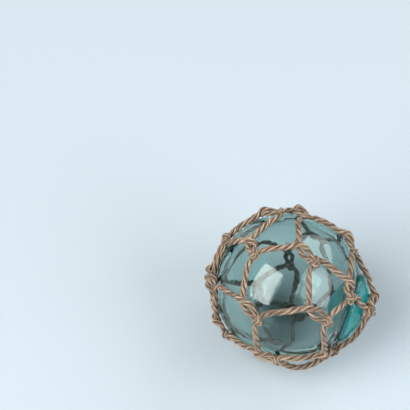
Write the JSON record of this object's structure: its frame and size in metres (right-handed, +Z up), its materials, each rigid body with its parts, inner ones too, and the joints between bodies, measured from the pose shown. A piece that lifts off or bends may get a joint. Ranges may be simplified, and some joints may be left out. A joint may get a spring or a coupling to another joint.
{
  "type": "glass float ball",
  "caption": "Blown glass fishing float with a sealing button, held in a knotted net of three-strand twine; lies on a surface as an ornament.",
  "frame": {"origin": "on the surface that the float lies on, under the middle of its box", "axes": "+Z up as the float lies; the sealing button faces +X, a little towards -Y and down"},
  "size_m": [0.0868, 0.0826, 0.0825],
  "materials": {
    "glass": "clear pale aqua blown glass, slightly wavy, with small bubbles",
    "seal_glass": "clear deep teal glass, thicker and darker than the ball",
    "twine": "laid three-strand natural fibre twine, reddish brown, weathered and slightly hairy"
  },
  "bodies": {
    "root": {"glass_ball": "glass", "seal_button": "seal_glass", "net": "twine"}
  },
  "joints": []
}
